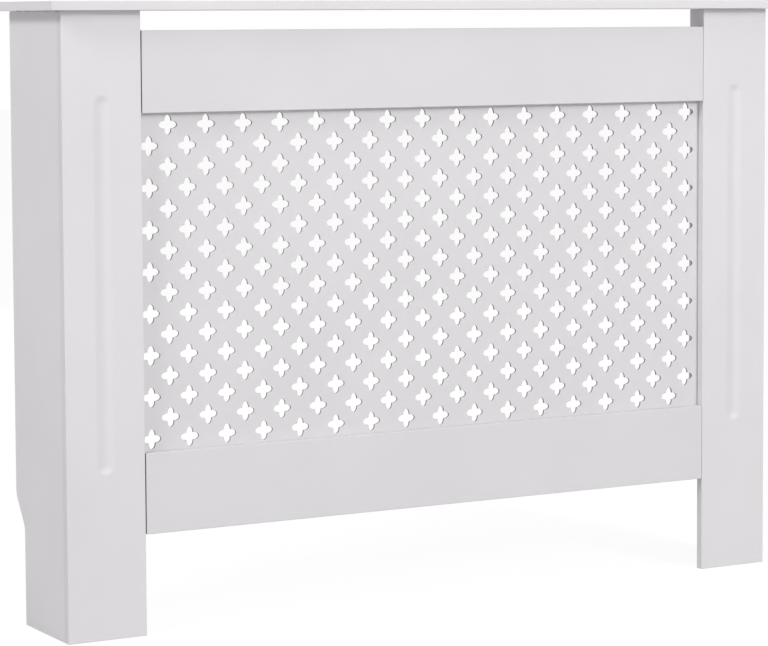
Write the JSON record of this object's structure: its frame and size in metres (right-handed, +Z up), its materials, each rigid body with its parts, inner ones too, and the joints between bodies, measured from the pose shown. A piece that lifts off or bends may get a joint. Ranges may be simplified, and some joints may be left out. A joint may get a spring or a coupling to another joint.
{
  "type": "radiator cover cabinet",
  "caption": "White flat-pack radiator cover with fluted stiles, a staggered cross-cut grille, an overhanging shelf top and skirting notches.",
  "frame": {"origin": "on the floor, under the middle of the top's outline", "axes": "+X to the right along the front, +Y from the front to the wall, +Z up"},
  "size_m": [1.12, 0.188, 0.806],
  "materials": {
    "painted_board": "satin white paint on fibreboard",
    "painted_grille": "satin white paint on thin fibreboard",
    "dowel_wood": "bare beech",
    "cam_zinc": "die-cast zinc, matt",
    "fastener_steel": "zinc-plated steel",
    "bracket_steel": "zinc-plated steel"
  },
  "bodies": {
    "cabinet": {"top_panel": "painted_board", "side_panel_left": "painted_board", "side_panel_right": "painted_board", "front_stile_left": "painted_board", "front_stile_right": "painted_board", "upper_rail": "painted_board", "lower_rail": "painted_board", "grille_panel": "painted_grille", "bracket_screw_left_front": "fastener_steel", "bracket_screw_left_rear": "fastener_steel", "bracket_screw_right_front": "fastener_steel", "bracket_screw_right_rear": "fastener_steel", "cam_bolt_left_stile_lower": "fastener_steel", "cam_bolt_left_stile_upper": "fastener_steel", "cam_bolt_left_top_front": "fastener_steel", "cam_bolt_left_top_rear": "fastener_steel", "cam_bolt_right_stile_lower": "fastener_steel", "cam_bolt_right_stile_upper": "fastener_steel", "cam_bolt_right_top_front": "fastener_steel", "cam_bolt_right_top_rear": "fastener_steel", "grille_screw_bottom_1": "fastener_steel", "grille_screw_bottom_2": "fastener_steel", "grille_screw_bottom_3": "fastener_steel", "grille_screw_bottom_4": "fastener_steel", "grille_screw_left": "fastener_steel", "grille_screw_right": "fastener_steel", "grille_screw_top_1": "fastener_steel", "grille_screw_top_2": "fastener_steel", "grille_screw_top_3": "fastener_steel", "grille_screw_top_4": "fastener_steel", "rail_dowel_lower_left_high": "dowel_wood", "rail_dowel_lower_left_low": "dowel_wood", "rail_dowel_lower_right_high": "dowel_wood", "rail_dowel_lower_right_low": "dowel_wood", "rail_dowel_upper_left_high": "dowel_wood", "rail_dowel_upper_left_low": "dowel_wood", "rail_dowel_upper_right_high": "dowel_wood", "rail_dowel_upper_right_low": "dowel_wood", "side_dowel_left_stile_lower": "dowel_wood", "side_dowel_left_stile_upper": "dowel_wood", "side_dowel_left_top_front": "dowel_wood", "side_dowel_left_top_rear": "dowel_wood", "side_dowel_right_stile_lower": "dowel_wood", "side_dowel_right_stile_upper": "dowel_wood", "side_dowel_right_top_front": "dowel_wood", "side_dowel_right_top_rear": "dowel_wood", "wall_bracket_left": "bracket_steel", "wall_bracket_right": "bracket_steel"},
    "cam_lock_left_stile_lower": {"cam_lock_left_stile_lower": "cam_zinc"},
    "cam_lock_left_stile_upper": {"cam_lock_left_stile_upper": "cam_zinc"},
    "cam_lock_left_top_front": {"cam_lock_left_top_front": "cam_zinc"},
    "cam_lock_left_top_rear": {"cam_lock_left_top_rear": "cam_zinc"},
    "cam_lock_right_stile_lower": {"cam_lock_right_stile_lower": "cam_zinc"},
    "cam_lock_right_stile_upper": {"cam_lock_right_stile_upper": "cam_zinc"},
    "cam_lock_right_top_front": {"cam_lock_right_top_front": "cam_zinc"},
    "cam_lock_right_top_rear": {"cam_lock_right_top_rear": "cam_zinc"}
  },
  "joints": [
    {"name": "cam_turn_left_stile_lower", "type": "hinge", "parent": "cabinet", "child": "cam_lock_left_stile_lower", "pos_m": [-0.528, -0.0377, 0.15], "axis": [1, 0, 0], "range_deg": [0, 180]},
    {"name": "cam_turn_left_stile_upper", "type": "hinge", "parent": "cabinet", "child": "cam_lock_left_stile_upper", "pos_m": [-0.528, -0.0377, 0.6397], "axis": [1, 0, 0], "range_deg": [0, 180]},
    {"name": "cam_turn_left_top_front", "type": "hinge", "parent": "cabinet", "child": "cam_lock_left_top_front", "pos_m": [-0.528, -0.0157, 0.7697], "axis": [1, 0, 0], "range_deg": [0, 180]},
    {"name": "cam_turn_left_top_rear", "type": "hinge", "parent": "cabinet", "child": "cam_lock_left_top_rear", "pos_m": [-0.528, 0.048, 0.7697], "axis": [1, 0, 0], "range_deg": [0, 180]},
    {"name": "cam_turn_right_stile_lower", "type": "hinge", "parent": "cabinet", "child": "cam_lock_right_stile_lower", "pos_m": [0.528, -0.0377, 0.15], "axis": [-1, 0, 0], "range_deg": [0, 180]},
    {"name": "cam_turn_right_stile_upper", "type": "hinge", "parent": "cabinet", "child": "cam_lock_right_stile_upper", "pos_m": [0.528, -0.0377, 0.6397], "axis": [-1, 0, 0], "range_deg": [0, 180]},
    {"name": "cam_turn_right_top_front", "type": "hinge", "parent": "cabinet", "child": "cam_lock_right_top_front", "pos_m": [0.528, -0.0157, 0.7697], "axis": [-1, 0, 0], "range_deg": [0, 180]},
    {"name": "cam_turn_right_top_rear", "type": "hinge", "parent": "cabinet", "child": "cam_lock_right_top_rear", "pos_m": [0.528, 0.048, 0.7697], "axis": [-1, 0, 0], "range_deg": [0, 180]}
  ]
}
